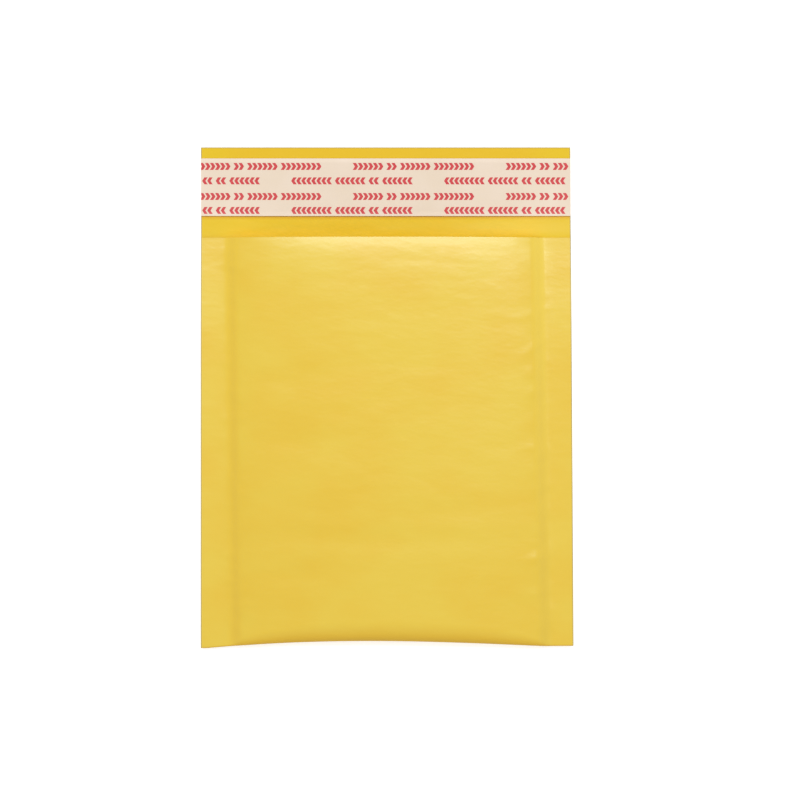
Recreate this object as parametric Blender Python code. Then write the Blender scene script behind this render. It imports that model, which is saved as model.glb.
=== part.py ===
"""A kraft bubble mailer, empty and unsealed, lying on its back with the flap open.

Metres, +Z up, +Y from the bottom fold towards the flap. The origin is on the surface that the
mailer lies on, under the middle of its outline.

One sheet of kraft paper runs from the mouth down the front, round the bottom fold, up the back
and on into the flap. One sheet of bubble film lines it, folded with it and crushed flat in the
two side seals, which close the pocket. The flap carries a strip of adhesive under a release liner.
"""

import bisect
import math

import bmesh
import bpy
from mathutils import Vector
from mathutils.geometry import delaunay_2d_cdt

# The outline, seen from above
WIDTH = 0.180  # across the free edge of the flap
RIGHT_FLARE = 0.0015  # the right-hand cut runs out by this much at the bottom
POCKET_LENGTH = 0.200  # from the mouth to the bottom fold, at the left corner
FLAP_LENGTH = 0.044
FOLD_SLANT = 0.0011  # the right end of the bottom fold lies this much higher
FOLD_PULL = 0.0032  # the padding draws the middle of the fold in by this much
LEFT_SEAL = 0.0120  # width of the flat band at each side
RIGHT_SEAL = 0.0110
SEAL_LEAN = 0.0022  # the pocket leans: its sides run this much to the right on their way down

# The layers
PAPER = 0.0002
FILM = 0.0002  # bubble film between its bubbles; two of them make the crushed seal
CLEARANCE = 0.0002  # left between neighbouring layers

# The pillow, measured between the outer faces of the paper
RAMP_WIDTH = 0.007  # beside each seal, where the padding starts
RAMP_RISE = 0.0012
CROWN = 0.0104  # further rise to the middle of the pocket
CROWN_POWER = 3.0
FOLD_TAPER = 0.0018  # the crown sinks by this much towards the bottom fold
FOLD_TAPER_LENGTH = 0.070
FOLD_ROLL = 0.0008  # and swells again where the film turns over
FOLD_ROLL_LENGTH = 0.012
LIP_DIP = 0.0015  # the front bends down to the mouth by this much
LIP_LENGTH = 0.010
NOSE_RATIO = 1.6  # depth of the rounded fold over half its thickness

# How it lies
SEAL_LIFT = 0.0020  # the side seals float above the surface
SEAL_CURL = 0.0003  # and curl up a little towards their cut edges
BACK_RAMP = 0.035  # the back comes down to the surface over this width
FLAP_SETTLE = 0.100  # the seals and the flap come down to it over this length
FLAP_CURL = 0.0022  # and rises again to its free edge

# The bubble film
BUBBLE_DIAMETER = 0.010
BUBBLE_PITCH = 0.0125
BUBBLE_HEIGHT = 0.0025
BUBBLE_SIDES = 6
BUBBLE_TOP_SHARE = 0.72  # of the radius, at the flat top
LINING_SETBACK = 0.003  # the film ends this far inside the mouth

# The closure on the flap
LINER_MARGIN = 0.0054  # from the free edge of the flap to the liner
LINER_WIDTH = 0.028
LINER = 0.00012
ADHESIVE_WIDTH = 0.022
ADHESIVE = 0.00015

# How finely the sheets are divided
SEAL_STEPS = 2
RAMP_STEPS = 3
MIDDLE_STEPS = 10
LIP_ROWS = (0.0, LINING_SETBACK, 0.008, 0.017)  # distances from the mouth
BODY_STEPS = 9
NOSE_STEPS = 8

SEAL_THICKNESS = 2 * (PAPER + CLEARANCE + FILM)
LINING_INSET = PAPER + CLEARANCE  # from the paper's outer face to the film's outer face
POCKET_INSET = LINING_INSET + FILM  # and to the film's inner face
LEFT = -(WIDTH + RIGHT_FLARE) / 2
BOTTOM = -(POCKET_LENGTH + FLAP_LENGTH) / 2
MOUTH = BOTTOM + POCKET_LENGTH
TOP = MOUTH + FLAP_LENGTH


def smooth(t):
    """A smooth step from 0 to 1."""
    t = max(0.0, min(1.0, t))
    return t * t * (3 - 2 * t)


def inside_seal(u):
    """How far inside the nearer seal the share u of the width lies. It is negative in the seal."""
    return min(u * WIDTH - LEFT_SEAL, (1 - u) * WIDTH - RIGHT_SEAL)


def x_at(u, y):
    """The place across the mailer of the share u of its width, at y along it."""
    lean = SEAL_LEAN * (0.5 - min(1.0, (y - BOTTOM) / POCKET_LENGTH))
    lean *= smooth(1 + inside_seal(u) / RIGHT_SEAL)
    return LEFT + u * (WIDTH + RIGHT_FLARE * (TOP - y) / (TOP - BOTTOM)) + lean


def crown(u):
    """The shape of the pillow across the pocket: 0 at the seals and 1 in the middle."""
    across = (u * WIDTH - LEFT_SEAL) / (WIDTH - LEFT_SEAL - RIGHT_SEAL)
    return 1 - min(1.0, abs(2 * across - 1)) ** CROWN_POWER


def fold_line(u):
    """Where the bottom fold lies: slanted, and drawn in most to the left of its middle."""
    share = max(0.0, min(1.0, (u - 0.02) / 0.90))
    return BOTTOM + FOLD_SLANT * u + FOLD_PULL * math.sin(math.pi * share**0.85)


def thickness(u, from_mouth, from_nose):
    """The outside thickness of the pouch, from_mouth and from_nose away from its two ends."""
    sink = FOLD_TAPER * (1 - min(1.0, from_nose / FOLD_TAPER_LENGTH)) ** 2
    sink -= FOLD_ROLL * math.exp(-from_nose / FOLD_ROLL_LENGTH)
    sink += LIP_DIP * math.exp(-from_mouth / LIP_LENGTH)
    pillow = RAMP_RISE + (CROWN - sink) * crown(u)
    return SEAL_THICKNESS + pillow * smooth(inside_seal(u) / RAMP_WIDTH)


def nose(u):
    """The rounded fold at u: where it starts, its half thickness and its depth."""
    half = thickness(u, POCKET_LENGTH, 0.0) / 2
    depth = NOSE_RATIO * half
    return fold_line(u) + depth, half, depth


def back_height(u, y):
    """The outer face of the back and the flap, which is flat on the surface in the middle."""
    inside = inside_seal(u)
    lift = SEAL_LIFT * (1 - smooth(inside / BACK_RAMP))
    lift += SEAL_CURL * max(0.0, -inside / RIGHT_SEAL) ** 2
    beyond = (y - MOUTH) / FLAP_LENGTH
    settled = smooth((y - MOUTH) / FLAP_SETTLE + 0.6)
    return lift * (1 - settled) + FLAP_CURL * max(0.0, beyond) ** 2


class Row:
    """One line across the folded sheet, and how far along the flat sheet it lies."""

    def __init__(self, part, share, along):
        self.part = part
        self.share = share
        self.along = along

    def point(self, u, inset=0.0):
        """The sheet at the share u of its width, moved inwards from the paper's outer face."""
        start, half, depth = nose(u)
        if self.part == "flap":
            y = MOUTH + self.share
            z = back_height(u, y) + inset
        elif self.part == "nose":
            angle = math.pi / 2 - math.pi * self.share
            y = start - (depth - inset) * math.cos(angle)
            z = back_height(u, start) + half + (half - inset) * math.sin(angle)
        else:
            y = MOUTH + self.share * (start - MOUTH)
            z = back_height(u, y) + inset
            if self.part == "front":
                z += thickness(u, MOUTH - y, y - start) - 2 * inset
        return Vector((x_at(u, y), y, z))


def columns():
    """Shares of the width: the seal, the ramp beside it, the middle, and the same again."""
    sides = []
    for seal in (LEFT_SEAL, RIGHT_SEAL):
        places = [seal * i / SEAL_STEPS for i in range(SEAL_STEPS)]
        places += [seal + RAMP_WIDTH * i / RAMP_STEPS for i in range(RAMP_STEPS)]
        sides.append([place / WIDTH for place in places])
    first = (LEFT_SEAL + RAMP_WIDTH) / WIDTH
    last = 1 - (RIGHT_SEAL + RAMP_WIDTH) / WIDTH
    middle = [first + (last - first) * i / MIDDLE_STEPS for i in range(MIDDLE_STEPS + 1)]
    return sides[0] + middle + [1 - u for u in reversed(sides[1])]


def rows():
    """Every row of the sheet, from the mouth edge of the front to the free edge of the flap."""
    start, half, depth = nose(0.5)
    panel = MOUTH - start
    round_fold = math.pi * math.sqrt((half**2 + depth**2) / 2)
    shares = [lip / panel for lip in LIP_ROWS[:-1]]
    last = LIP_ROWS[-1] / panel
    shares += [last + (1 - last) * i / BODY_STEPS for i in range(BODY_STEPS)]
    front = [Row("front", share, share * panel) for share in shares]
    fold = [
        Row("nose", i / NOSE_STEPS, panel + round_fold * i / NOSE_STEPS)
        for i in range(NOSE_STEPS + 1)
    ]
    far = 2 * panel + round_fold
    back = [Row("back", share, far - share * panel) for share in reversed(shares)]
    adhesive_margin = (LINER_WIDTH - ADHESIVE_WIDTH) / 2
    liner_start = FLAP_LENGTH - LINER_MARGIN - LINER_WIDTH
    flap_places = [
        liner_start / 2,
        liner_start,
        liner_start + adhesive_margin,
        liner_start + LINER_WIDTH / 2,
        liner_start + LINER_WIDTH - adhesive_margin,
        liner_start + LINER_WIDTH,
        FLAP_LENGTH,
    ]
    flap = [Row("flap", place, far + place) for place in flap_places]
    return front + fold + back + flap


COLUMNS = columns()
ROWS = rows()
FLAP_START = len(ROWS) - 7  # the rows of the flap beyond the mouth
POUCH = ROWS[1 : FLAP_START - 1]  # the rows that the film covers, front and back


def material(name, colour, roughness, alpha=1.0):
    """A plain Principled material."""
    made = bpy.data.materials.new(name)
    made.use_nodes = True
    shader = made.node_tree.nodes["Principled BSDF"]
    shader.inputs["Base Color"].default_value = (*colour, 1.0)
    shader.inputs["Roughness"].default_value = roughness
    shader.inputs["Metallic"].default_value = 0.0
    shader.inputs["Alpha"].default_value = alpha
    return made


def add_object(name, bm, finish):
    """Puts the mesh in the scene as a named object with its own material."""
    mesh = bpy.data.meshes.new(name)
    bm.to_mesh(mesh)
    bm.free()
    mesh.materials.append(finish)
    mesh.shade_smooth()
    mesh.set_sharp_from_angle(angle=math.radians(40))
    made = bpy.data.objects.new(name, mesh)
    bpy.context.scene.collection.objects.link(made)
    return made


def grid(bm, over, inset):
    """A net of quads over some rows, facing out of the pouch, and its vertices row by row."""
    verts = [[bm.verts.new(row.point(u, inset)) for u in COLUMNS] for row in over]
    for line, following in zip(verts, verts[1:]):
        for i in range(len(line) - 1):
            bm.faces.new((line[i], following[i], following[i + 1], line[i + 1]))
    return verts


def add_sheet(name, over, inset, thick, finish):
    """A sheet of even thickness over some rows, its outer face inset from the paper's."""
    bm = bmesh.new()
    grid(bm, over, inset)
    made = add_object(name, bm, finish)
    solid = made.modifiers.new("thickness", "SOLIDIFY")
    solid.thickness = thick
    solid.offset = -1.0
    solid.use_even_offset = True
    return made


def on_sheet(across, along, inset):
    """The point of the folded film at a place on the flat sheet, between its four nearest nodes."""
    shares = [u * WIDTH for u in COLUMNS]
    lengths = [row.along for row in POUCH]
    i = max(0, min(len(shares) - 2, bisect.bisect_right(shares, across) - 1))
    k = max(0, min(len(lengths) - 2, bisect.bisect_right(lengths, along) - 1))
    s = (across - shares[i]) / (shares[i + 1] - shares[i])
    t = (along - lengths[k]) / (lengths[k + 1] - lengths[k])
    near = POUCH[k].point(COLUMNS[i], inset).lerp(POUCH[k].point(COLUMNS[i + 1], inset), s)
    far = POUCH[k + 1].point(COLUMNS[i], inset).lerp(POUCH[k + 1].point(COLUMNS[i + 1], inset), s)
    return near.lerp(far, t)


def half_gap(across, along):
    """Half the free height of the pocket at a place on the flat sheet."""
    mirrored = POUCH[0].along + POUCH[-1].along - along
    here = on_sheet(across, along, POCKET_INSET)
    there = on_sheet(across, mirrored, POCKET_INSET)
    return abs(here.z - there.z) / 2


def bubble_centres():
    """Staggered rows of bubbles on the flat sheet, clear of the ramps, the mouth and the fold."""
    radius = BUBBLE_DIAMETER / 2
    spacing = BUBBLE_PITCH * math.sqrt(3) / 2
    land = BUBBLE_PITCH - BUBBLE_DIAMETER
    free = WIDTH - LEFT_SEAL - RIGHT_SEAL - 2 * (RAMP_WIDTH + radius)
    steps = int(free / BUBBLE_PITCH)
    middle = (WIDTH + LEFT_SEAL - RIGHT_SEAL) / 2
    nose_rows = [row.along for row in POUCH if row.part == "nose"]
    first = POUCH[0].along + radius + land / 2
    last = nose_rows[0] - radius - land / 2
    mirror = POUCH[0].along + POUCH[-1].along
    centres = []
    for k in range(int((last - first) / spacing) + 1):
        in_row = steps + 1 - k % 2
        along = first + k * spacing
        for i in range(in_row):
            across = middle + BUBBLE_PITCH * (i - (in_row - 1) / 2)
            centres.append(Vector((across, along)))
            centres.append(Vector((across, mirror - along)))
    return centres


def ring(centre, radius):
    """The corners of a bubble's outline on the flat sheet."""
    turns = [2 * math.pi * (i + 0.5) / BUBBLE_SIDES for i in range(BUBBLE_SIDES)]
    return [centre + radius * Vector((math.cos(a), math.sin(a))) for a in turns]


def flat_net(centres):
    """Points and constraint edges of the flat film inside the seals, and a polygon for each bubble."""
    points = []
    edges = []
    index = {}

    def line(places):
        for place in places:
            if place not in index:
                index[place] = len(points)
                points.append(Vector(place))
        edges.extend((index[a], index[b]) for a, b in zip(places, places[1:]))

    lengths = [row.along for row in POUCH]
    inner = [u * WIDTH for u in COLUMNS[SEAL_STEPS : len(COLUMNS) - SEAL_STEPS]]
    for across in inner[: RAMP_STEPS + 1] + inner[-RAMP_STEPS - 1 :]:
        line([(across, along) for along in lengths])
    for row in POUCH:
        if row.part == "nose" or row in (POUCH[0], POUCH[-1]):
            line([(across, row.along) for across in inner])
    bubbles = []
    for centre in centres:
        first = len(points)
        points.extend(ring(centre, BUBBLE_DIAMETER / 2))
        bubbles.append(list(range(first, first + BUBBLE_SIDES)))
    return points, edges, bubbles


def pocket_skin(bm):
    """The inner face of the film, with its bubbles, as triangles folded with the sheet."""
    centres = bubble_centres()
    points, edges, bubbles = flat_net(centres)
    flat, _, faces, sources, _, owners = delaunay_2d_cdt(points, edges, bubbles, 0, 1e-7)
    verts = [bm.verts.new(on_sheet(*place, POCKET_INSET)) for place in flat]
    for corners, owner in zip(faces, owners):
        if not owner:
            bm.faces.new([verts[i] for i in corners])
    made = {old: verts[i] for i, olds in enumerate(sources) for old in olds}
    for centre, outline in zip(centres, bubbles):
        height = min(BUBBLE_HEIGHT, half_gap(*centre) - CLEARANCE)
        foot = [made[i] for i in outline]
        top = [
            bm.verts.new(on_sheet(*place, POCKET_INSET + height))
            for place in ring(centre, BUBBLE_TOP_SHARE * BUBBLE_DIAMETER / 2)
        ]
        for i in range(BUBBLE_SIDES):
            following = (i + 1) % BUBBLE_SIDES
            bm.faces.new((foot[i], foot[following], top[following], top[i]))
        bm.faces.new(top)
    return {tuple(points[old]): vert for old, vert in made.items()}


def close_lining(bm, outer, inner):
    """The side walls of the seals and the rim at the mouth, between the film's two faces."""
    last = len(COLUMNS) - 1
    ends = len(POUCH) - 1
    nose_rows = [k for k, row in enumerate(POUCH) if row.part == "nose"]
    for j in (0, last):
        for k in range(nose_rows[0]):
            bm.faces.new((outer[k][j], outer[k + 1][j], outer[ends - k - 1][j], outer[ends - k][j]))
        bm.faces.new([outer[k][j] for k in nose_rows])
    front, back = outer[0], outer[ends]
    crease = (SEAL_STEPS, last - SEAL_STEPS)

    def inner_at(j, row):
        return inner[tuple(Vector((COLUMNS[j] * WIDTH, row.along)))]

    for j in range(last):
        if crease[0] <= j < crease[1]:
            for skin, row in ((front, POUCH[0]), (back, POUCH[-1])):
                bm.faces.new((skin[j], skin[j + 1], inner_at(j + 1, row), inner_at(j, row)))
        else:
            corners = [front[j], front[j + 1]]
            corners += [inner_at(j + 1, POUCH[0])] if j + 1 == crease[0] else []
            corners += [back[j + 1], back[j]]
            corners += [inner_at(j, POUCH[0])] if j == crease[1] else []
            bm.faces.new(corners)


def add_lining(finish):
    """The bubble film: one folded sheet whose sides are crushed together in the seals."""
    bm = bmesh.new()
    outer = grid(bm, POUCH, LINING_INSET)
    inner = pocket_skin(bm)
    close_lining(bm, outer, inner)
    bmesh.ops.remove_doubles(bm, verts=bm.verts, dist=1e-6)
    bmesh.ops.recalc_face_normals(bm, faces=bm.faces)
    return add_object("bubble_lining", bm, finish)


def main():
    for old in list(bpy.data.objects):
        bpy.data.objects.remove(old)
    kraft = material("kraft_paper", (0.84, 0.59, 0.085), 0.62)
    film = material("bubble_film", (0.86, 0.88, 0.88), 0.25, alpha=0.6)
    glue = material("hot_melt_adhesive", (0.80, 0.72, 0.45), 0.35)
    silicone = material("silicone_paper", (0.85, 0.70, 0.60), 0.35)

    add_sheet("kraft_envelope", ROWS, 0.0, PAPER, kraft)
    add_lining(film)
    glue_rows = ROWS[FLAP_START + 2 : FLAP_START + 5]
    glue_inset = PAPER + CLEARANCE
    add_sheet("adhesive_strip", glue_rows, glue_inset, ADHESIVE, glue)
    liner_rows = ROWS[FLAP_START + 1 : FLAP_START + 6]
    liner_inset = glue_inset + ADHESIVE + CLEARANCE
    add_sheet("release_liner", liner_rows, liner_inset, LINER, silicone)


main()
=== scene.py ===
"""The looks of a kraft bubble mailer that lies on its back, empty, with its flap open.

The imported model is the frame. The paper, the film and the release liner are finer versions of its
solids, laid over the same folded surface, with the ripples of real paper and round bubbles. All
sizes are in metres, +Z up, +Y from the bottom fold towards the flap.
"""

import math
import random

import bmesh
import bpy
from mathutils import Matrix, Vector
from mathutils.geometry import delaunay_2d_cdt

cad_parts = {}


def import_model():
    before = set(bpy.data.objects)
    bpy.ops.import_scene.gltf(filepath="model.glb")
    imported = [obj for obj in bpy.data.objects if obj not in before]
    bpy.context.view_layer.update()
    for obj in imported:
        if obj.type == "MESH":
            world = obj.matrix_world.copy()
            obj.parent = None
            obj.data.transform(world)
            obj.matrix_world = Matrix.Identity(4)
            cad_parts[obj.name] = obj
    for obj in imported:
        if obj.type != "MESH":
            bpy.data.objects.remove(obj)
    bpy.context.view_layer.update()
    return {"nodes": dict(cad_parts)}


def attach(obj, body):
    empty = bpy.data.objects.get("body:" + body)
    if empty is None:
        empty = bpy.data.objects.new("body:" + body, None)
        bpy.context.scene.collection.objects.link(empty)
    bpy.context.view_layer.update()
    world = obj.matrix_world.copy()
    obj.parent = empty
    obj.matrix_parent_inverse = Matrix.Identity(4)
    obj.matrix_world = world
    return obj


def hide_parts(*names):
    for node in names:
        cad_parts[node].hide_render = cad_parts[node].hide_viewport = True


# The outline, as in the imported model
WIDTH = 0.180
RIGHT_FLARE = 0.0015
POCKET_LENGTH = 0.200
FLAP_LENGTH = 0.044
FOLD_SLANT = 0.0011
FOLD_PULL = 0.0032
PULL_START = 0.02  # share of the width where the fold begins to be drawn in
PULL_SPAN = 0.90  # share of the width over which it is
PULL_POWER = 0.85  # under 1, so the place that is drawn in most lies left of the middle
LEFT_SEAL = 0.0120
RIGHT_SEAL = 0.0110
SEAL_LEAN = 0.0022

# The layers
PAPER = 0.0002
FILM = 0.0002
CLEARANCE = 0.0002

# The pillow
RAMP_WIDTH = 0.007
RAMP_RISE = 0.0012
CROWN = 0.0104
CROWN_POWER = 3.0
FOLD_TAPER = 0.0018
FOLD_TAPER_LENGTH = 0.070
FOLD_ROLL = 0.0008
FOLD_ROLL_LENGTH = 0.012
LIP_DIP = 0.0015
LIP_LENGTH = 0.010
NOSE_RATIO = 1.6

# How it lies
SEAL_LIFT = 0.0020
SEAL_CURL = 0.0003
BACK_RAMP = 0.035
FLAP_SETTLE = 0.100  # the lift dies out over this length of the mailer
SETTLED_AT_MOUTH = 0.6  # share of that length that lies before the mouth
FLAP_CURL = 0.0022

# The bubble film
BUBBLE_DIAMETER = 0.010
BUBBLE_PITCH = 0.0125
BUBBLE_HEIGHT = 0.0025
BUBBLE_SIDES = 16
BUBBLE_RINGS = ((0.93, 0.42), (0.76, 0.78), (0.48, 0.95))  # share of radius, share of height
LINING_SETBACK = 0.003

# The closure
LINER_MARGIN = 0.0054
LINER_WIDTH = 0.028
LINER = 0.00012
LINER_OVERHANG = 0.002
LINER_SAG = 0.00028  # of its upper margin, down to the flap
LINER_CURL = 0.00016  # of its lower margin, away from the flap
ADHESIVE = 0.00015
LINER_INSET = PAPER + CLEARANCE + ADHESIVE + CLEARANCE
LINER_FACE = LINER_INSET + LINER

# The print on the liner: rows of chevrons in words of six, two, six and eight
PRINT_ROWS = (0.0039, 0.0109, 0.0185, 0.0253)  # from the liner's upper edge
PRINT_STARTS = (-0.0168, -0.0468)  # left end of a line in the middle, in odd and in even rows
PRINT_REPEAT = 0.0745  # from a line to the next one in its row
PRINT_WORDS = (6, 2, 6, 8)
MARK_PITCH = 0.00245
MARK_HEIGHT = 0.0034
MARK_DEPTH = 0.0011
MARK_STROKE = 0.00160
MARK_STEPS = 3  # along each arm
SHARE_STEPS = 4  # to find the share of the width that a mark lies at
WORD_GAP = 0.0017
INK = 0.00001  # how far it stands above the liner and reaches into it

# Ripples of the front: place, half length, half width, height, and turn in degrees
RIPPLES = (
    (-0.047, 0.0086, 0.026, 0.0069, -0.00032, 3),
    (-0.045, -0.0211, 0.026, 0.0076, -0.00036, -2),
    (0.030, -0.0550, 0.040, 0.0065, -0.00022, 2),
    (-0.040, -0.0535, 0.026, 0.0060, -0.00018, -2),
    (-0.012, -0.0690, 0.060, 0.0062, -0.00044, 0),
    (-0.045, -0.0860, 0.025, 0.0045, -0.00014, 2),
    (-0.005, 0.0165, 0.035, 0.0075, -0.00018, 1),
    (0.010, 0.0400, 0.040, 0.0070, -0.00005, -2),
    (0.0785, 0.052, 0.030, 0.0035, 0.00060, 90),
)
MOUTH_RIPPLE = (0.064, 0.0790, 0.034, 0.0060, 0.0009)  # place, half length, half width, height
RIPPLE_END = 3.0  # in half lengths or half widths, where a ripple has died out
RIPPLE_FADE = 0.004  # how far the ripples reach into a seal
RIPPLE_SEED = 7

# Small ripples of the front: how many, and the ranges of their places and sizes
SMALL_RIPPLES = 70
SMALL_SPREAD = (-0.08, 0.08)  # across the mailer
SMALL_START = 0.01  # from the bottom of the mailer
SMALL_REACH = (0.006, 0.022)
SMALL_WIDTH = (0.0025, 0.005)
SMALL_HEIGHT = (-0.00007, 0.00007)
SMALL_TURN = 14  # degrees

# Puckers, the short creases that run from each seal into the pillow
PUCKERS = 80  # at each seal
PUCKER_START = 0.008  # from the bottom of the mailer
PUCKER_STOP = 0.004  # before the mouth
PUCKER_PLACE = (-0.001, 0.008)  # from a seal's inner edge into the pillow
PUCKER_REACH = (0.003, 0.007)
PUCKER_WIDTH = (0.0018, 0.0032)
PUCKER_HEIGHT = (0.00004, 0.00019)
PUCKER_TURN = 25  # degrees

# The paper: its pale and deep clouds, and painted light and shade at creases, folds, flap and cut
# edges
OUTSIDE_COLOURS = ((0.852, 0.601, 0.050), (0.850, 0.563, 0.035))
INSIDE_COLOURS = ((0.875, 0.588, 0.014), (0.890, 0.568, 0.008))
# Painted light on the seals' ramps: lighter than the paper to undo their shade, and brighter towards
# the mouth as a painted sheen
LEFT_CREASE_PAINTED_LIGHT = ((0.895, 0.610, 0.044), (0.875, 0.585, 0.041))  # at the mouth, at the fold
RIGHT_CREASE_PAINTED_LIGHT = ((0.920, 0.665, 0.077), (0.845, 0.585, 0.050))
CREASE_PLACE = 0.0038  # from a seal's inner edge into the pillow
CREASE_REACH = 0.0046
# Painted shade: a deeper orange over the rounded bottom fold, which curls under away from the light;
# only its raised roughness is wear
FOLD_PAINTED_SHADE = (0.84, 0.50, 0.020)
FOLD_ROUGHNESS = 0.75
# Painted light: the flap's strip next to the mouth lighter and deeper gold, to undo the shade of the
# pouch beside it
FLAP_FOLD_PAINTED_LIGHT = (0.96, 0.605, 0.002)
FLAP_FOLD_REACH = 0.0060
# Painted shade: the flap darker towards its top edge
FLAP_MARGIN_PAINTED_SHADE = (0.834, 0.527, 0.014)
FLAP_MARGIN_REACH = 0.018
# Painted shade: the inside paper darker towards both side edges, where the lifted seals catch more
# light
FLAP_ENDS_PAINTED_SHADE = (0.830, 0.555, 0.013)
FLAP_ENDS_REACH = 0.024
# Painted shadow: a dark orange line on the flap under the release liner's lower edge
LINER_SHADOW_COLOUR = (0.82, 0.46, 0.010)
LINER_SHADOW_REACH = 0.0020
# Painted shade: a thin dark line along the paper's cut edges, where the rim turns away from the
# light
EDGE_SHADE_COLOUR = (0.46, 0.35, 0.13)
EDGE_REACH = 0.0006
OUTSIDE_SHEEN = (0.30, 0.72)  # roughness and specular level
INSIDE_SHEEN = (0.40, 0.30)
SHEEN_TINT = (0.8, 1.0, 1.0, 1.0)

# The other materials: the colours that their noise runs between
FILM_COLOURS = ((0.88, 0.90, 0.90), (0.96, 0.97, 0.97))
GLUE_COLOURS = ((0.70, 0.60, 0.30), (0.80, 0.72, 0.42))
LINER_COLOURS = ((0.83, 0.685, 0.53), (0.86, 0.715, 0.575))
INK_COLOURS = ((0.62, 0.035, 0.045), (0.68, 0.06, 0.065))
FILM_CLEAR = 0.08  # how opaque the film is where it faces the eye
FILM_EDGE_ON = 0.5
FILM_CRUSHED = 0.9  # in the seals

# How finely the sheets are divided
SHEET_COLUMNS = 140
FRONT_ROWS = 200
NOSE_ROWS = 18
BACK_ROWS = 44
FLAP_ROWS = 36
LINING_COLUMNS = 44
LINING_ROWS = 50
LINING_NOSE_ROWS = 12
SEAL_COLUMNS = 4
LINER_ROWS = 40
SHARP_ANGLE = math.radians(50)  # edges that turn by more than this stay sharp
TOLERANCE = 1e-6  # between places that are meant to be the same
NET_TOLERANCE = 1e-7  # and between points of the film's flat net

SEAL_THICKNESS = 2 * (PAPER + CLEARANCE + FILM)
LINING_INSET = PAPER + CLEARANCE
POCKET_INSET = LINING_INSET + FILM
LEFT = -(WIDTH + RIGHT_FLARE) / 2
BOTTOM = -(POCKET_LENGTH + FLAP_LENGTH) / 2
MOUTH = BOTTOM + POCKET_LENGTH
TOP = MOUTH + FLAP_LENGTH
LINER_TOP = TOP - LINER_MARGIN

# The picture: the frame of the photograph, in pixels, and what one of them measures
FRAME = 800
PIXEL = 0.0004880
CENTRE = (387.2, 397.7)  # where the middle of the mailer is in the frame
CAMERA_HEIGHT = 1.6
SENSOR = 36.0  # millimetres, as the lens is

# The studio
WORLD_LIGHT = 0.58
KEY_PLACE = (0.12, 0.66, 1.62)
KEY_SIZE = (1.6, 0.4)
KEY_POWER = 15.5
FLOOR_REACH = 4.0
FLOOR_DROP = 0.0001  # below the paper, so that the two faces stay apart
FLOOR_GLOW = 0.56


def smooth(t):
    """A smooth step from 0 to 1."""
    t = max(0.0, min(1.0, t))
    return t * t * (3 - 2 * t)


def inside_seal(u):
    """How far inside the nearer seal the share u of the width lies. It is negative in the seal."""
    return min(u * WIDTH - LEFT_SEAL, (1 - u) * WIDTH - RIGHT_SEAL)


def x_at(u, y):
    """The place across the mailer of the share u of its width, at y along it."""
    lean = SEAL_LEAN * (0.5 - min(1.0, (y - BOTTOM) / POCKET_LENGTH))
    lean *= smooth(1 + inside_seal(u) / RIGHT_SEAL)
    return LEFT + u * (WIDTH + RIGHT_FLARE * (TOP - y) / (TOP - BOTTOM)) + lean


def crown(u):
    """The shape of the pillow across the pocket: 0 at the seals and 1 in the middle."""
    across = (u * WIDTH - LEFT_SEAL) / (WIDTH - LEFT_SEAL - RIGHT_SEAL)
    return 1 - min(1.0, abs(2 * across - 1)) ** CROWN_POWER


def fold_line(u):
    """Where the bottom fold lies: slanted, and drawn in most to the left of its middle."""
    share = max(0.0, min(1.0, (u - PULL_START) / PULL_SPAN))
    return BOTTOM + FOLD_SLANT * u + FOLD_PULL * math.sin(math.pi * share**PULL_POWER)


def thickness(u, from_mouth, from_nose):
    """The outside thickness of the pouch, from_mouth and from_nose away from its two ends."""
    sink = FOLD_TAPER * (1 - min(1.0, from_nose / FOLD_TAPER_LENGTH)) ** 2
    sink -= FOLD_ROLL * math.exp(-from_nose / FOLD_ROLL_LENGTH)
    sink += LIP_DIP * math.exp(-from_mouth / LIP_LENGTH)
    pillow = RAMP_RISE + (CROWN - sink) * crown(u)
    return SEAL_THICKNESS + pillow * smooth(inside_seal(u) / RAMP_WIDTH)


def nose(u):
    """The rounded fold at u: where it starts, its half thickness and its depth."""
    half = thickness(u, POCKET_LENGTH, 0.0) / 2
    depth = NOSE_RATIO * half
    return fold_line(u) + depth, half, depth


def back_height(u, y):
    """The outer face of the back and the flap: lifted at the seals, and curled up on the flap."""
    inside = inside_seal(u)
    lift = SEAL_LIFT * (1 - smooth(inside / BACK_RAMP))
    lift += SEAL_CURL * max(0.0, -inside / RIGHT_SEAL) ** 2
    beyond = (y - MOUTH) / FLAP_LENGTH
    settled = smooth((y - MOUTH) / FLAP_SETTLE + SETTLED_AT_MOUTH)
    return lift * (1 - settled) + FLAP_CURL * max(0.0, beyond) ** 2


NOSE_START, NOSE_HALF, NOSE_DEPTH = nose(0.5)
PANEL = MOUTH - NOSE_START
ROUND_FOLD = math.pi * math.sqrt((NOSE_HALF**2 + NOSE_DEPTH**2) / 2)
FOLD_MIDDLE = PANEL + ROUND_FOLD / 2
BACK_START = PANEL + ROUND_FOLD
FLAP_FOLD = 2 * PANEL + ROUND_FOLD
SHEET_LENGTH = FLAP_FOLD + FLAP_LENGTH
LINER_START = SHEET_LENGTH - LINER_MARGIN - LINER_WIDTH

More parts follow.
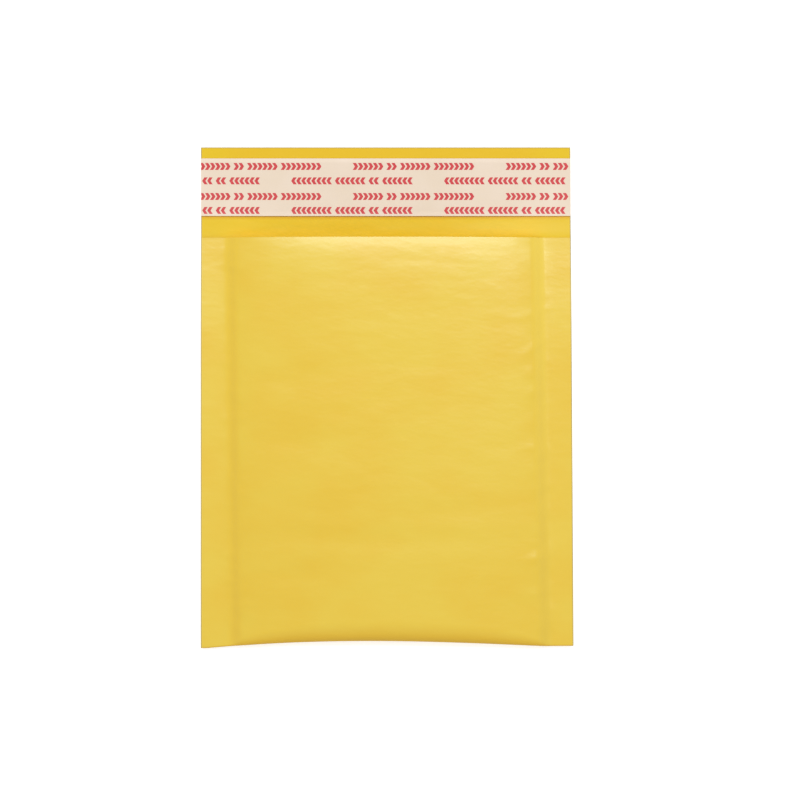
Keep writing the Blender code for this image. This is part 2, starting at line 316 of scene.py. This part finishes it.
# Lines on the flat sheet where the paper's colour changes, each of them painted light or shade: the
# axis it is measured on, where it is there, how far it reaches to either side, and its colour, or
# one at the mouth and one at the fold
# Painted shade along the sheet's two side edges
SIDES = (
    ("X", 0.0, EDGE_REACH, EDGE_SHADE_COLOUR),
    ("X", WIDTH, EDGE_REACH, EDGE_SHADE_COLOUR),
)
OUTSIDE_LINES = (
    ("X", LEFT_SEAL + CREASE_PLACE, CREASE_REACH, *LEFT_CREASE_PAINTED_LIGHT),
    ("X", WIDTH - RIGHT_SEAL - CREASE_PLACE, CREASE_REACH, *RIGHT_CREASE_PAINTED_LIGHT),
    ("Y", FOLD_MIDDLE, ROUND_FOLD / 2, FOLD_PAINTED_SHADE),
    *SIDES,
)
INSIDE_LINES = (
    ("Y", SHEET_LENGTH, FLAP_MARGIN_REACH, FLAP_MARGIN_PAINTED_SHADE),
    ("Y", FLAP_FOLD, FLAP_FOLD_REACH, FLAP_FOLD_PAINTED_LIGHT),
    ("X", 0.0, FLAP_ENDS_REACH, FLAP_ENDS_PAINTED_SHADE),
    ("X", WIDTH, FLAP_ENDS_REACH, FLAP_ENDS_PAINTED_SHADE),
    ("Y", LINER_START, LINER_SHADOW_REACH, LINER_SHADOW_COLOUR),
    ("Y", SHEET_LENGTH, EDGE_REACH, EDGE_SHADE_COLOUR),
    *SIDES,
)


def small_ripples():
    """Many faint ripples, most of them running across the mailer."""
    source = random.Random(RIPPLE_SEED)
    for _ in range(SMALL_RIPPLES):
        x = source.uniform(*SMALL_SPREAD)
        y = source.uniform(BOTTOM + SMALL_START, MOUTH)
        reach = source.uniform(*SMALL_REACH)
        height = source.uniform(*SMALL_HEIGHT)
        width = source.uniform(*SMALL_WIDTH)
        yield x, y, reach, width, height, source.gauss(0, SMALL_TURN)


def puckers():
    """Short folds of the paper along the two seals, where the film holds it back."""
    source = random.Random(RIPPLE_SEED)
    for edge in (LEFT_SEAL / WIDTH, 1 - RIGHT_SEAL / WIDTH):
        inward = 1 if edge < 0.5 else -1
        for _ in range(PUCKERS):
            y = source.uniform(BOTTOM + PUCKER_START, MOUTH - PUCKER_STOP)
            x = x_at(edge, y) + inward * source.uniform(*PUCKER_PLACE)
            reach = source.uniform(*PUCKER_REACH)
            height = source.uniform(*PUCKER_HEIGHT)
            width = source.uniform(*PUCKER_WIDTH)
            yield x, y, reach, width, height, source.gauss(0, PUCKER_TURN)


def turned(ripples):
    """The ripples with the cosine and the sine of their turn in its place."""
    made = []
    for *rest, turn in ripples:
        angle = math.radians(turn)
        made.append((*rest, math.cos(angle), math.sin(angle)))
    return made


BROAD_RIPPLES = turned([*RIPPLES, *small_ripples()])
ALL_RIPPLES = BROAD_RIPPLES + turned(puckers())


def relief(x, y, inset):
    """The ripples of the padded front at a place seen from above. The film has no puckers."""
    total = 0.0
    ripples = BROAD_RIPPLES if inset > PAPER else ALL_RIPPLES
    for x0, y0, reach, width, height, c, s in ripples:
        along = ((x - x0) * c + (y - y0) * s) / reach
        across = ((y - y0) * c - (x - x0) * s) / width
        squared = along * along + across * across
        if squared < RIPPLE_END**2:
            total += height * math.exp(-squared)
    return total


def ripple_share(u):
    """How much of the ripples' height is left: all of it on the pillow, and none in the seals."""
    return smooth((inside_seal(u) + RIPPLE_FADE) / (2 * RIPPLE_FADE))


def mouth_relief(x, y):
    """The height of the one wide ripple of the back, where the flap begins."""
    x0, y0, reach, width, height = MOUTH_RIPPLE
    return height * math.exp(-(((x - x0) / reach) ** 2) - ((y - y0) / width) ** 2)


def folded(u, along, inset):
    """A point of the folded sheet: the share u of the width and the length from the mouth edge."""
    start, half, depth = nose(u)
    if along <= PANEL:
        y = MOUTH + along / PANEL * (start - MOUTH)
        x = x_at(u, y)
        z = back_height(u, y) + thickness(u, MOUTH - y, y - start) - inset
        z += relief(x, y, inset) * ripple_share(u)
    elif along < BACK_START:
        angle = math.pi / 2 - math.pi * (along - PANEL) / ROUND_FOLD
        y = start - (depth - inset) * math.cos(angle)
        x = x_at(u, y)
        z = back_height(u, start) + half + (half - inset) * math.sin(angle)
        z += relief(x, start, inset) * ripple_share(u) * max(0.0, math.sin(angle))
    else:
        past = along - FLAP_FOLD
        y = MOUTH + (past if past > 0 else past / PANEL * (MOUTH - start))
        x = x_at(u, y)
        z = back_height(u, y) + mouth_relief(x, y) + inset
    return Vector((x, y, z))


def link(name, mesh):
    """Puts a mesh in the scene as a piece that rides on the one body."""
    piece = bpy.data.objects.new(name, mesh)
    bpy.context.scene.collection.objects.link(piece)
    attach(piece, "root")
    return piece


def grid(bm, columns, lengths, inset):
    """A net of quads over the folded sheet, facing out of the pouch. Its UV is the flat sheet."""
    verts = [[bm.verts.new(folded(u, along, inset)) for u in columns] for along in lengths]
    flat = bm.loops.layers.uv.verify()
    for k in range(len(lengths) - 1):
        for i in range(len(columns) - 1):
            corners = ((k, i), (k + 1, i), (k + 1, i + 1), (k, i + 1))
            face = bm.faces.new([verts[row][column] for row, column in corners])
            for loop, (row, column) in zip(face.loops, corners):
                loop[flat].uv = (columns[column] * WIDTH, lengths[row])
    return verts


def even(start, end, steps):
    """Evenly spaced numbers from start up to, and without, end."""
    return [start + (end - start) * i / steps for i in range(steps)]


def add_sheet(name, lengths, inset, thick, outside, inside):
    """A sheet of even thickness over part of the folded surface, with sharp cut edges."""
    bm = bmesh.new()
    shares = [i / SHEET_COLUMNS for i in range(SHEET_COLUMNS + 1)]
    grid(bm, shares, lengths, inset)
    mesh = bpy.data.meshes.new(name)
    bm.to_mesh(mesh)
    bm.free()
    mesh.shade_smooth()
    mesh.materials.append(outside)
    mesh.materials.append(inside)
    piece = link(name, mesh)
    solid = piece.modifiers.new("thickness", "SOLIDIFY")
    solid.thickness = thick
    solid.offset = -1.0
    solid.use_even_offset = True
    solid.material_offset = 1
    piece.data = bpy.data.meshes.new_from_object(
        piece.evaluated_get(bpy.context.evaluated_depsgraph_get())
    )
    piece.modifiers.clear()
    piece.data.set_sharp_from_angle(angle=SHARP_ANGLE)
    return piece


def add_envelope(outside, inside):
    """The kraft paper, from the mouth down the front, round the fold and up to the flap's edge."""
    lengths = even(0.0, PANEL, FRONT_ROWS)
    lengths += even(PANEL, BACK_START, NOSE_ROWS)
    lengths += even(BACK_START, FLAP_FOLD, BACK_ROWS)
    lengths += even(FLAP_FOLD, SHEET_LENGTH, FLAP_ROWS)
    paper = add_sheet("kraft_paper", [*lengths, SHEET_LENGTH], 0.0, PAPER, outside, inside)
    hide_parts("kraft_envelope")


def lining_lengths():
    """The rows of the film, from one mouth edge round the fold to the other."""
    front = even(LINING_SETBACK, PANEL, LINING_ROWS)
    fold = even(PANEL, BACK_START, LINING_NOSE_ROWS)
    return front + fold + [FLAP_FOLD - along for along in [PANEL, *reversed(front)]]


def bubble_centres():
    """Staggered rows of bubbles on the flat sheet, clear of the ramps, the mouth and the fold."""
    radius = BUBBLE_DIAMETER / 2
    spacing = BUBBLE_PITCH * math.sqrt(3) / 2
    land = BUBBLE_PITCH - BUBBLE_DIAMETER
    free = WIDTH - LEFT_SEAL - RIGHT_SEAL - 2 * (RAMP_WIDTH + radius)
    steps = int(free / BUBBLE_PITCH)
    middle = (WIDTH + LEFT_SEAL - RIGHT_SEAL) / 2
    first = LINING_SETBACK + radius + land / 2
    last = PANEL - radius - land / 2
    centres = []
    for k in range(int((last - first) / spacing) + 1):
        in_row = steps + 1 - k % 2
        along = first + k * spacing
        for i in range(in_row):
            across = middle + BUBBLE_PITCH * (i - (in_row - 1) / 2)
            centres.append(Vector((across, along)))
            centres.append(Vector((across, FLAP_FOLD - along)))
    return centres


def half_gap(across, along):
    """Half the free height of the pocket at a place on the flat sheet."""
    u = across / WIDTH
    here = folded(u, along, POCKET_INSET)
    there = folded(u, FLAP_FOLD - along, POCKET_INSET)
    return abs(here.z - there.z) / 2


def ring(centre, radius):
    """Points round a bubble on the flat sheet."""
    turns = [2 * math.pi * (i + 0.5) / BUBBLE_SIDES for i in range(BUBBLE_SIDES)]
    return [centre + radius * Vector((math.cos(a), math.sin(a))) for a in turns]


def add_dome(bm, centre, foot):
    """One rounded bubble on its foot, a ring of vertices."""
    height = min(BUBBLE_HEIGHT, half_gap(*centre) - CLEARANCE)
    lower = foot
    for share, rise in BUBBLE_RINGS:
        places = ring(centre, share * BUBBLE_DIAMETER / 2)
        inset = POCKET_INSET + rise * height
        upper = [bm.verts.new(folded(p.x / WIDTH, p.y, inset)) for p in places]
        for i in range(BUBBLE_SIDES):
            j = (i + 1) % BUBBLE_SIDES
            bm.faces.new((lower[i], lower[j], upper[j], upper[i]))
        lower = upper
    top = bm.verts.new(folded(centre.x / WIDTH, centre.y, POCKET_INSET + height))
    for i in range(BUBBLE_SIDES):
        bm.faces.new((lower[i], lower[(i + 1) % BUBBLE_SIDES], top))


def in_fold(along):
    """Whether a length along the sheet is in the rounded fold, its two ends included."""
    return abs(along - FOLD_MIDDLE) < ROUND_FOLD / 2 + TOLERANCE


def flat_net(columns, lengths, centres):
    """Points and edges that the flat film keeps inside the seals, and an outline for each bubble."""
    points = []
    edges = []
    index = {}

    def line(places):
        for place in places:
            if place not in index:
                index[place] = len(points)
                points.append(Vector(place))
        edges.extend((index[a], index[b]) for a, b in zip(places, places[1:]))

    inner = [u * WIDTH for u in columns if inside_seal(u) > -TOLERANCE]
    for across in inner:
        if inside_seal(across / WIDTH) < RAMP_WIDTH + TOLERANCE:
            line([(across, along) for along in lengths])
    for along in lengths:
        if in_fold(along) or along in (lengths[0], lengths[-1]):
            line([(across, along) for across in inner])
    outlines = []
    for centre in centres:
        first = len(points)
        points.extend(ring(centre, BUBBLE_DIAMETER / 2))
        outlines.append(list(range(first, first + BUBBLE_SIDES)))
    return points, edges, outlines


def pocket_skin(bm, columns, lengths):
    """The inner face of the film with its bubbles. It returns its vertices by their flat places."""
    centres = bubble_centres()
    points, edges, outlines = flat_net(columns, lengths, centres)
    net = delaunay_2d_cdt(points, edges, outlines, 0, NET_TOLERANCE)
    flat, _, faces, sources, _, owners = net
    verts = [bm.verts.new(folded(p.x / WIDTH, p.y, POCKET_INSET)) for p in flat]
    for corners, owner in zip(faces, owners):
        if not owner:
            bm.faces.new([verts[i] for i in corners])
    made = {old: verts[i] for i, olds in enumerate(sources) for old in olds}
    for centre, outline in zip(centres, outlines):
        add_dome(bm, centre, [made[i] for i in outline])
    return {tuple(points[old]): vert for old, vert in made.items()}


def close_lining(bm, columns, lengths, outer, inner):
    """The side walls of the seals and the rim at the mouth, between the film's two faces."""
    ends = len(lengths) - 1
    fold = [k for k, along in enumerate(lengths) if in_fold(along)]
    for j in (0, len(columns) - 1):
        for k in range(fold[0]):
            rows = (k, k + 1, ends - k - 1, ends - k)
            bm.faces.new([outer[row][j] for row in rows])
        bm.faces.new([outer[k][j] for k in fold])
    front, back = outer[0], outer[ends]
    open_part = [j for j, u in enumerate(columns) if inside_seal(u) > -TOLERANCE]
    first, last = open_part[0], open_part[-1]

    def inner_at(j, along):
        return inner[tuple(Vector((columns[j] * WIDTH, along)))]

    for j in range(len(columns) - 1):
        if first <= j < last:
            for skin, along in ((front, lengths[0]), (back, lengths[-1])):
                bm.faces.new((skin[j], skin[j + 1], inner_at(j + 1, along), inner_at(j, along)))
        else:
            corners = [front[j], front[j + 1]]
            corners += [inner_at(j + 1, lengths[0])] if j + 1 == first else []
            corners += [back[j + 1], back[j]]
            corners += [inner_at(j, lengths[0])] if j == last else []
            bm.faces.new(corners)


def lining_columns():
    """Shares of the width for the film, with one at each seal's inner edge."""
    left = LEFT_SEAL / WIDTH
    right = 1 - RIGHT_SEAL / WIDTH
    columns = even(0.0, left, SEAL_COLUMNS)
    columns += even(left, right, LINING_COLUMNS)
    columns += even(right, 1.0, SEAL_COLUMNS)
    return [*columns, 1.0]


def add_lining(finish):
    """The bubble film, whose sides are crushed together in the seals."""
    columns = lining_columns()
    lengths = lining_lengths()
    bm = bmesh.new()
    outer = grid(bm, columns, lengths, LINING_INSET)
    inner = pocket_skin(bm, columns, lengths)
    close_lining(bm, columns, lengths, outer, inner)
    bmesh.ops.remove_doubles(bm, verts=bm.verts, dist=TOLERANCE)
    bmesh.ops.recalc_face_normals(bm, faces=bm.faces)
    mesh = bpy.data.meshes.new("film_lining")
    bm.to_mesh(mesh)
    bm.free()
    mesh.shade_smooth()
    mesh.set_sharp_from_angle(angle=SHARP_ANGLE)
    mesh.materials.append(finish)
    lining = link("film_lining", mesh)
    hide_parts("bubble_lining")


def liner_bend(y):
    """How far the liner's free margins bend: the upper one sinks and the lower one stands up."""
    sunk = LINER_SAG * (1 - smooth((LINER_TOP - y) / LINER_OVERHANG))
    raised = LINER_CURL * (1 - smooth((y - LINER_TOP + LINER_WIDTH) / LINER_OVERHANG))
    return raised - sunk


def add_liner(finish):
    """The silicone paper strip across the flap. Past the adhesive, its margins are free and bend."""
    end = LINER_START + LINER_WIDTH
    lengths = [*even(LINER_START, end, LINER_ROWS), end]
    liner = add_sheet("liner_paper", lengths, LINER_INSET, LINER, finish, finish)
    for vert in liner.data.vertices:
        vert.co.z += liner_bend(vert.co.y)
    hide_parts("release_liner")


def surface_height(x, y):
    """The height of the liner's upper face at a place seen from above."""
    u = (x - LEFT) / WIDTH
    for _ in range(SHARE_STEPS):
        u += (x - x_at(u, y)) / WIDTH
    return back_height(u, y) + mouth_relief(x, y) + LINER_FACE + liner_bend(y)


def chevron(bm, left, middle, direction):
    """One mark on the liner: a chevron that points along its row, cut off at the liner's end."""
    before = None
    for step in range(-MARK_STEPS, MARK_STEPS + 1):
        share = step / MARK_STEPS
        y = middle + share * MARK_HEIGHT / 2
        x = left + MARK_DEPTH * (1 - abs(share) if direction > 0 else abs(share))
        start = max(x, LEFT + INK)
        end = x + MARK_STROKE
        corners = ((start, INK), (end, INK), (end, -INK), (start, -INK))
        line = [bm.verts.new((at, y, surface_height(at, y) + rise)) for at, rise in corners]
        if before:
            for i in range(4):
                j = (i + 1) % 4
                bm.faces.new((before[i], before[j], line[j], line[i]))
        if abs(step) == MARK_STEPS:
            bm.faces.new(line)
        before = line


def add_print(ink):
    """Rows of chevrons, alternately pointing right and left."""
    bm = bmesh.new()
    for k, down in enumerate(PRINT_ROWS):
        direction = 1 if k % 2 == 0 else -1
        for repeat in (-1, 0, 1):
            left = PRINT_STARTS[k % 2] + repeat * PRINT_REPEAT
            for word in PRINT_WORDS[::direction]:
                for _ in range(word):
                    if LEFT - MARK_DEPTH < left < LEFT + WIDTH - MARK_PITCH:
                        chevron(bm, left, LINER_TOP - down, direction)
                    left += MARK_PITCH
                left += WORD_GAP
    bmesh.ops.recalc_face_normals(bm, faces=bm.faces)
    mesh = bpy.data.meshes.new("liner_print")
    bm.to_mesh(mesh)
    bm.free()
    mesh.materials.append(ink)
    link("liner_print", mesh)


class Nodes:
    """A material whose nodes are added and wired one at a time."""

    def __init__(self, name):
        self.material = bpy.data.materials.new(name)
        self.material.use_nodes = True
        self.tree = self.material.node_tree
        self.shader = self.tree.nodes["Principled BSDF"]

    def add(self, kind, **settings):
        """A new node with its settings."""
        node = self.tree.nodes.new(kind)
        for key, value in settings.items():
            setattr(node, key, value)
        return node

    def wire(self, out, into):
        """Joins an output to an input."""
        self.tree.links.new(out, into)

    def noise(self, scale, detail, stretch=(1, 1, 1), turn=0.0):
        """A noise over the object's own coordinates, in features per metre."""
        place = self.add("ShaderNodeTexCoord")
        mapping = self.add("ShaderNodeMapping")
        mapping.inputs["Scale"].default_value = stretch
        mapping.inputs["Rotation"].default_value = (0, 0, turn)
        pattern = self.add("ShaderNodeTexNoise")
        pattern.inputs["Scale"].default_value = scale
        pattern.inputs["Detail"].default_value = detail
        self.wire(place.outputs["Object"], mapping.inputs["Vector"])
        self.wire(mapping.outputs["Vector"], pattern.inputs["Vector"])
        return pattern.outputs["Fac"]

    def ramp(self, value, places, colours):
        """One colour that turns into another as a value goes from one place to another."""
        node = self.add("ShaderNodeValToRGB")
        for stop, place, colour in zip(node.color_ramp.elements, places, colours):
            stop.position = place
            stop.color = (*colour, 1)
        self.wire(value, node.inputs["Fac"])
        return node.outputs["Color"]

    def distance(self, value, place):
        """How far a value is from a place, to either side."""
        apart = self.add("ShaderNodeMath", operation="SUBTRACT")
        self.wire(value, apart.inputs[0])
        apart.inputs[1].default_value = place
        size = self.add("ShaderNodeMath", operation="ABSOLUTE")
        self.wire(apart.outputs[0], size.inputs[0])
        return size.outputs[0]

    def band(self, value, start, end, low, high):
        """A smooth change from low to high as the value goes from start to end."""
        node = self.add("ShaderNodeMapRange", interpolation_type="SMOOTHSTEP")
        self.wire(value, node.inputs["Value"])
        node.inputs["From Min"].default_value = start
        node.inputs["From Max"].default_value = end
        node.inputs["To Min"].default_value = low
        node.inputs["To Max"].default_value = high
        return node.outputs["Result"]

    def blend(self, share, colour, other):
        """A colour that turns into another one as the share goes from 0 to 1."""
        node = self.add("ShaderNodeMix", data_type="RGBA")
        # Several of its sockets share a name, so the ones for colours are told by their numbers
        self.wire(share, node.inputs["Factor"])
        self.wire(colour, node.inputs[6])
        self.wire(other, node.inputs[7])
        return node.outputs[2]

    def bump(self, height, distance, strength, under=None):
        """A bump, by itself or on top of another one."""
        node = self.add("ShaderNodeBump")
        node.inputs["Distance"].default_value = distance
        node.inputs["Strength"].default_value = strength
        self.wire(height, node.inputs["Height"])
        if under:
            self.wire(under, node.inputs["Normal"])
        return node.outputs["Normal"]

    def plain(self, **values):
        """Values that are the same all over, on the shader's own sockets."""
        for key, value in values.items():
            self.shader.inputs[key.replace("_", " ")].default_value = value


def kraft(name, pale, deep, lines, roughness, gloss):
    """Kraft paper: a cloudy formation, fine fibres, faint wrinkles, rougher where worn at the fold,
    and the painted light and shade of its lines.
    """
    made = Nodes(name)
    clouds = made.noise(scale=38.0, detail=9.0, stretch=(0.7, 1.0, 1.0))
    colour = made.ramp(clouds, (0.36, 0.64), (deep, pale))
    flat = made.add("ShaderNodeSeparateXYZ")
    made.wire(made.add("ShaderNodeTexCoord").outputs["UV"], flat.inputs["Vector"])
    for axis, place, reach, *colours in lines:
        apart = made.distance(flat.outputs[axis], place)
        other = made.ramp(flat.outputs["Y"], (0.0, PANEL), (colours[0], colours[-1]))
        colour = made.blend(made.band(apart, reach, reach / 4, 0.0, 1.0), colour, other)
    made.wire(colour, made.shader.inputs["Base Color"])
    from_fold = made.distance(flat.outputs["Y"], FOLD_MIDDLE)
    worn = made.band(from_fold, ROUND_FOLD / 2, ROUND_FOLD / 4, roughness, FOLD_ROUGHNESS)
    made.wire(worn, made.shader.inputs["Roughness"])
    wrinkles = made.noise(scale=115.0, detail=7.0, stretch=(0.45, 1.0, 1.0), turn=0.06)
    fibres = made.noise(scale=900.0, detail=3.0, stretch=(0.18, 1.0, 1.0))
    grain = made.noise(scale=2600.0, detail=2.0)
    normal = made.bump(wrinkles, distance=0.00026, strength=1.0)
    normal = made.bump(fibres, distance=0.00002, strength=0.35, under=normal)
    normal = made.bump(grain, distance=0.00001, strength=0.3, under=normal)
    made.wire(normal, made.shader.inputs["Normal"])
    made.plain(Specular_IOR_Level=gloss, Specular_Tint=SHEEN_TINT)
    return made.material


def film_material():
    """Clear polyethylene film: glossy, seen through, milky seen edge on or crushed in the seals."""
    made = Nodes("bubble_film")
    milk = made.noise(scale=120.0, detail=3.0)
    made.wire(made.ramp(milk, (0.3, 0.7), FILM_COLOURS), made.shader.inputs["Base Color"])
    waves = made.noise(scale=700.0, detail=3.0)
    normal = made.bump(waves, distance=0.00003, strength=0.4)
    made.wire(normal, made.shader.inputs["Normal"])
    facing = made.add("ShaderNodeLayerWeight").outputs["Facing"]
    edge_on = made.band(facing, 0.1, 1.0, FILM_CLEAR, FILM_EDGE_ON)
    place = made.add("ShaderNodeSeparateXYZ")
    made.wire(made.add("ShaderNodeTexCoord").outputs["Object"], place.inputs["Vector"])
    from_middle = made.distance(place.outputs["X"], 0.0)
    seal = WIDTH / 2 - LEFT_SEAL
    crushed = made.band(from_middle, seal, seal + LEFT_SEAL / 2, 0.0, FILM_CRUSHED)
    milky = made.add("ShaderNodeMath", operation="MAXIMUM")
    made.wire(edge_on, milky.inputs[0])
    made.wire(crushed, milky.inputs[1])
    made.wire(milky.outputs[0], made.shader.inputs["Alpha"])
    made.plain(Roughness=0.12)
    return made.material


def glue_material():
    """Tacky hot-melt adhesive."""
    made = Nodes("adhesive")
    streaks = made.noise(scale=300.0, detail=3.0, stretch=(0.2, 1.0, 1.0))
    made.wire(made.ramp(streaks, (0.3, 0.7), GLUE_COLOURS), made.shader.inputs["Base Color"])
    made.plain(Roughness=0.3)
    return made.material


def liner_material():
    """Cream silicone paper with a low sheen."""
    made = Nodes("silicone_paper")
    clouds = made.noise(scale=70.0, detail=3.0)
    made.wire(made.ramp(clouds, (0.3, 0.7), LINER_COLOURS), made.shader.inputs["Base Color"])
    grain = made.noise(scale=1500.0, detail=3.0)
    normal = made.bump(grain, distance=0.00001, strength=0.3)
    made.wire(normal, made.shader.inputs["Normal"])
    made.plain(Roughness=0.5)
    return made.material


def ink_material():
    """Red ink, a little uneven, as a flexo press leaves it."""
    made = Nodes("red_ink")
    patches = made.noise(scale=900.0, detail=2.0)
    made.wire(made.ramp(patches, (0.35, 0.7), INK_COLOURS), made.shader.inputs["Base Color"])
    made.plain(Roughness=0.45)
    return made.material


def floor_material():
    """A pale floor that the camera sees as white, with the mailer's shadow still on it."""
    made = Nodes("floor")
    made.plain(Base_Color=(0.85, 0.85, 0.85, 1), Roughness=0.9)
    made.plain(Emission_Color=(1, 1, 1, 1))
    path = made.add("ShaderNodeLightPath")
    seen = made.add("ShaderNodeMath", operation="MAXIMUM")
    made.wire(path.outputs["Is Camera Ray"], seen.inputs[0])
    made.wire(path.outputs["Is Glossy Ray"], seen.inputs[1])
    share = made.add("ShaderNodeMath", operation="MULTIPLY")
    share.inputs[1].default_value = FLOOR_GLOW
    made.wire(seen.outputs[0], share.inputs[0])
    made.wire(share.outputs[0], made.shader.inputs["Emission Strength"])
    return made.material


def add_floor():
    """The floor that the mailer lies on."""
    bm = bmesh.new()
    bmesh.ops.create_grid(bm, x_segments=1, y_segments=1, size=FLOOR_REACH)
    mesh = bpy.data.meshes.new("floor")
    bm.to_mesh(mesh)
    bm.free()
    mesh.materials.append(floor_material())
    floor = bpy.data.objects.new("floor", mesh)
    floor.location.z = -FLOOR_DROP
    bpy.context.scene.collection.objects.link(floor)


def add_light():
    """The one lamp, a softbox above and beyond the flap, which faces the mailer."""
    lamp = bpy.data.lights.new("key", "AREA")
    lamp.shape = "RECTANGLE"
    lamp.size, lamp.size_y = KEY_SIZE
    lamp.energy = KEY_POWER
    made = bpy.data.objects.new("key", lamp)
    made.location = KEY_PLACE
    made.rotation_euler = (-Vector(KEY_PLACE)).to_track_quat("-Z", "Y").to_euler()
    bpy.context.scene.collection.objects.link(made)


def add_camera():
    """Straight above the mailer, with the photograph's framing."""
    lens = bpy.data.cameras.new("camera")
    lens.sensor_width = SENSOR
    lens.lens = SENSOR * CAMERA_HEIGHT / (FRAME * PIXEL)
    camera = bpy.data.objects.new("camera", lens)
    x = (FRAME / 2 - CENTRE[0]) * PIXEL
    y = -(FRAME / 2 - CENTRE[1]) * PIXEL
    camera.location = (x, y, CAMERA_HEIGHT)
    bpy.context.scene.collection.objects.link(camera)
    bpy.context.scene.camera = camera


def add_world():
    """Even light from all round, which the camera sees as white."""
    world = bpy.data.worlds.new("studio")
    world.use_nodes = True
    nodes = world.node_tree.nodes
    links = world.node_tree.links
    lit = nodes["Background"]
    lit.inputs["Color"].default_value = (1, 1, 1, 1)
    lit.inputs["Strength"].default_value = WORLD_LIGHT
    seen = nodes.new("ShaderNodeBackground")
    seen.inputs["Color"].default_value = (1, 1, 1, 1)
    seen.inputs["Strength"].default_value = 1.0
    either = nodes.new("ShaderNodeMixShader")
    links.new(nodes.new("ShaderNodeLightPath").outputs["Is Camera Ray"], either.inputs["Fac"])
    links.new(lit.outputs["Background"], either.inputs[1])
    links.new(seen.outputs["Background"], either.inputs[2])
    links.new(either.outputs["Shader"], nodes["World Output"].inputs["Surface"])
    bpy.context.scene.world = world


def main():
    """The mailer in its materials, in the light and the framing of the photograph."""
    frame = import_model()
    outside = kraft("kraft_outside", *OUTSIDE_COLOURS, OUTSIDE_LINES, *OUTSIDE_SHEEN)
    inside = kraft("kraft_inside", *INSIDE_COLOURS, INSIDE_LINES, *INSIDE_SHEEN)
    add_envelope(outside, inside)
    add_lining(film_material())
    add_liner(liner_material())
    add_print(ink_material())
    glue = frame["nodes"]["adhesive_strip"]
    glue.data.materials[0] = glue_material()
    add_floor()
    add_world()
    add_light()
    add_camera()
    bpy.context.scene.view_settings.view_transform = "Standard"


main()
